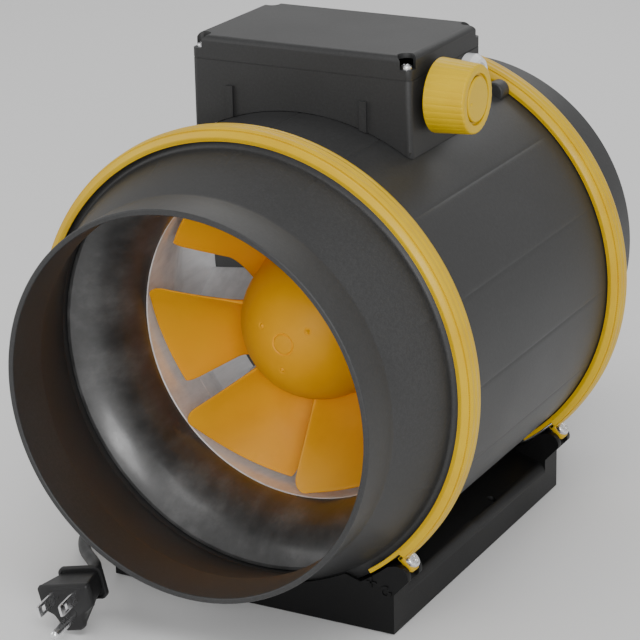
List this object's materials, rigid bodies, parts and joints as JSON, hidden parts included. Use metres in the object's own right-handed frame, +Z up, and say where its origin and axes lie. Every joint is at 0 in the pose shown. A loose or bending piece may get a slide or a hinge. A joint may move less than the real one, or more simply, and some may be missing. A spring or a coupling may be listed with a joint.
{
  "type": "inline duct fan",
  "caption": "Inline mixed-flow duct fan: round casing with clamp bands, flared spigots, foot, control box, speed knob and mains lead.",
  "frame": {"origin": "centre of the foot's underside, midway between the two clamp bands", "axes": "+Z up, +Y along the duct from inlet to outlet, +X towards the side of the control box that carries the speed knob"},
  "size_m": [0.2529, 0.4064, 0.279],
  "materials": {
    "charcoal_shell": "fine speckled matt moulding, charcoal",
    "black_plastic": "dark satin moulding",
    "gloss_black": "polished black bellmouth",
    "yellow_band": "yellow moulded clamp band",
    "orange_impeller": "orange-yellow glass-filled impeller",
    "knob_yellow": "yellow fluted knob",
    "silver_metal": "bright satin aluminium",
    "bright_screw": "bright zinc",
    "steel": "turned steel",
    "laminations": "stacked laminations",
    "copper": "enamelled copper wire",
    "magnet": "sintered ferrite",
    "board_green": "glass-fibre circuit board",
    "rubber_seal": "soft sealing rubber",
    "terminal_grey": "grey moulded terminals",
    "cord_black": "black flexible lead jacket",
    "plug_black": "moulded plug rubber",
    "light_cap": "light grey polished cap"
  },
  "bodies": {
    "casing_assembly": {"base_foot": "black_plastic", "middle_casing": "charcoal_shell", "inlet_spigot": "charcoal_shell", "outlet_spigot": "charcoal_shell", "inlet_seal": "rubber_seal", "outlet_seal": "rubber_seal", "inlet_clamp_band": "yellow_band", "outlet_clamp_band": "yellow_band", "clamp_screws": "bright_screw", "inlet_nozzle": "gloss_black", "impeller_shroud": "silver_metal", "guide_vane_unit": "silver_metal", "tail_fairing": "black_plastic", "front_bearing": "steel", "rear_bearing": "steel", "motor_flange": "silver_metal", "stator_core": "laminations", "stator_windings": "copper", "motor_circuit_board": "board_green", "motor_screws": "bright_screw", "terminal_box": "charcoal_shell", "box_lid": "charcoal_shell", "lid_screws": "bright_screw", "lid_gasket": "rubber_seal", "control_board": "board_green", "terminal_block": "terminal_grey", "smoothing_capacitors": "silver_metal", "line_choke": "magnet", "heat_sink": "silver_metal", "board_screws": "bright_screw", "box_screws": "bright_screw", "speed_potentiometer": "steel", "potentiometer_nut": "steel", "side_cap": "light_cap", "gland_body": "black_plastic", "gland_lock_nut": "black_plastic", "gland_cap_nut": "black_plastic", "strain_relief": "cord_black", "cord_hanging": "cord_black", "cord_floor": "cord_black", "cord_coil": "cord_black", "cord_tie": "black_plastic", "plug_body": "plug_black", "plug_blades": "bright_screw", "plug_earth_pin": "bright_screw", "motor_lead": "cord_black", "motor_connector": "terminal_grey"},
    "rotor_assembly": {"impeller": "orange_impeller", "rotor_can": "steel", "magnet_ring": "magnet", "motor_shaft": "steel", "shaft_circlip": "steel"},
    "knob_assembly": {"speed_knob": "knob_yellow", "knob_cap": "knob_yellow", "potentiometer_shaft": "steel"}
  },
  "joints": [
    {"name": "impeller_spin", "type": "hinge", "parent": "casing_assembly", "child": "rotor_assembly", "pos_m": [0, -0.02, 0.1282], "axis": [0, 1, 0], "continuous": true},
    {"name": "knob_turn", "type": "hinge", "parent": "casing_assembly", "child": "knob_assembly", "pos_m": [0.066, -0.0166, 0.2552], "axis": [1, 0, 0], "range_deg": [-150, 150]}
  ]
}
